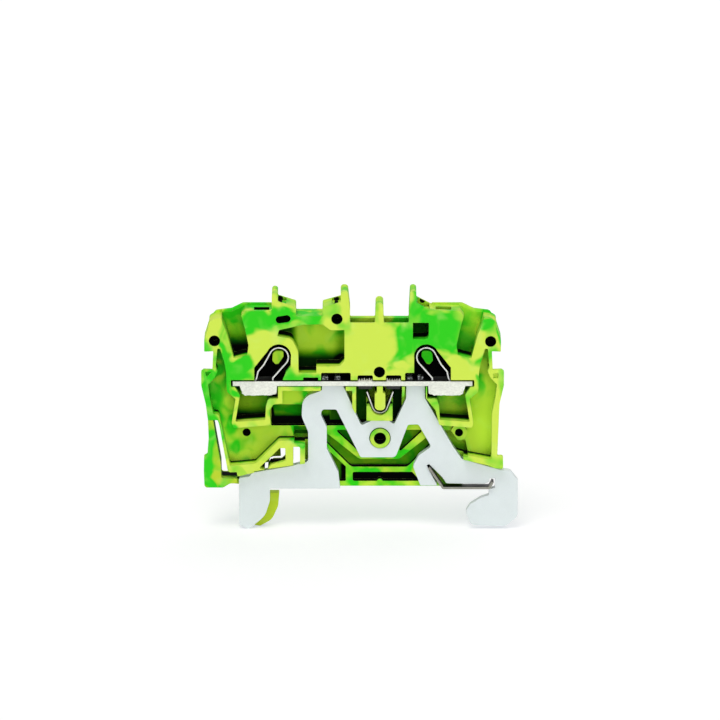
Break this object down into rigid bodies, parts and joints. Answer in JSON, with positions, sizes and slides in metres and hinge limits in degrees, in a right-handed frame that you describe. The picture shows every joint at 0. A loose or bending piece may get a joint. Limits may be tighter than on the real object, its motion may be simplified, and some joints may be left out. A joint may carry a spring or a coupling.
{
  "type": "din rail terminal block",
  "caption": "Slim open-sided earth terminal block for a 35 mm rail, with a marbled green-yellow housing, a current bar with spring clamps and a stamped ground foot.",
  "frame": {"origin": "rail's centre line at the height of its top edges, halfway through the block's width", "axes": "+X across the rail, +Y along the rail towards the block's closed side, +Z away from the rail"},
  "size_m": [0.0509, 0.0067, 0.0396],
  "materials": {
    "housing_plastic": "satin moulded nylon, marbled green and yellow",
    "tinned_copper": "tin plated, matte",
    "spring_steel": "bright spring steel",
    "contact_strip": "dull plated spring strip"
  },
  "bodies": {
    "block": {"housing": "housing_plastic", "busbar": "tinned_copper", "ground_foot": "tinned_copper", "left_clamp_spring": "spring_steel", "right_clamp_spring": "spring_steel", "jumper_spring": "spring_steel", "rail_strip_leg": "contact_strip"},
    "left_clamp": {"left_clamp_tongue": "spring_steel"},
    "right_clamp": {"right_clamp_tongue": "spring_steel"},
    "rail_latch": {"rail_latch": "housing_plastic"},
    "rail_strip": {"rail_strip": "contact_strip"},
    "left_tine": {"jumper_tine_left": "spring_steel"},
    "right_tine": {"jumper_tine_right": "spring_steel"}
  },
  "joints": [
    {"name": "left_clamp_flex", "type": "hinge", "parent": "block", "child": "left_clamp", "pos_m": [-0.01732, 0, 0.02254], "axis": [0, -1, 0], "range_deg": [0, 18], "stiffness_Nm_per_rad": 0.3},
    {"name": "right_clamp_flex", "type": "hinge", "parent": "block", "child": "right_clamp", "pos_m": [0.00872, 0, 0.02254], "axis": [0, 1, 0], "range_deg": [0, 18], "stiffness_Nm_per_rad": 0.3},
    {"name": "rail_latch_flex", "type": "hinge", "parent": "block", "child": "rail_latch", "pos_m": [-0.0275, 0, 0.01167], "axis": [0, 1, 0], "range_deg": [0, 7], "stiffness_Nm_per_rad": 0.8},
    {"name": "rail_strip_flex", "type": "hinge", "parent": "block", "child": "rail_strip", "pos_m": [0.01011, 0, 0.00074], "axis": [0, -1, 0], "range_deg": [0, 1.5], "stiffness_Nm_per_rad": 0.4},
    {"name": "left_tine_flex", "type": "hinge", "parent": "block", "child": "left_tine", "pos_m": [-0.00096, 0, 0.01352], "axis": [0, 1, 0], "range_deg": [0, 10], "stiffness_Nm_per_rad": 0.05},
    {"name": "right_tine_flex", "type": "hinge", "parent": "block", "child": "right_tine", "pos_m": [0.00116, 0, 0.01352], "axis": [0, -1, 0], "range_deg": [0, 10], "stiffness_Nm_per_rad": 0.05}
  ]
}
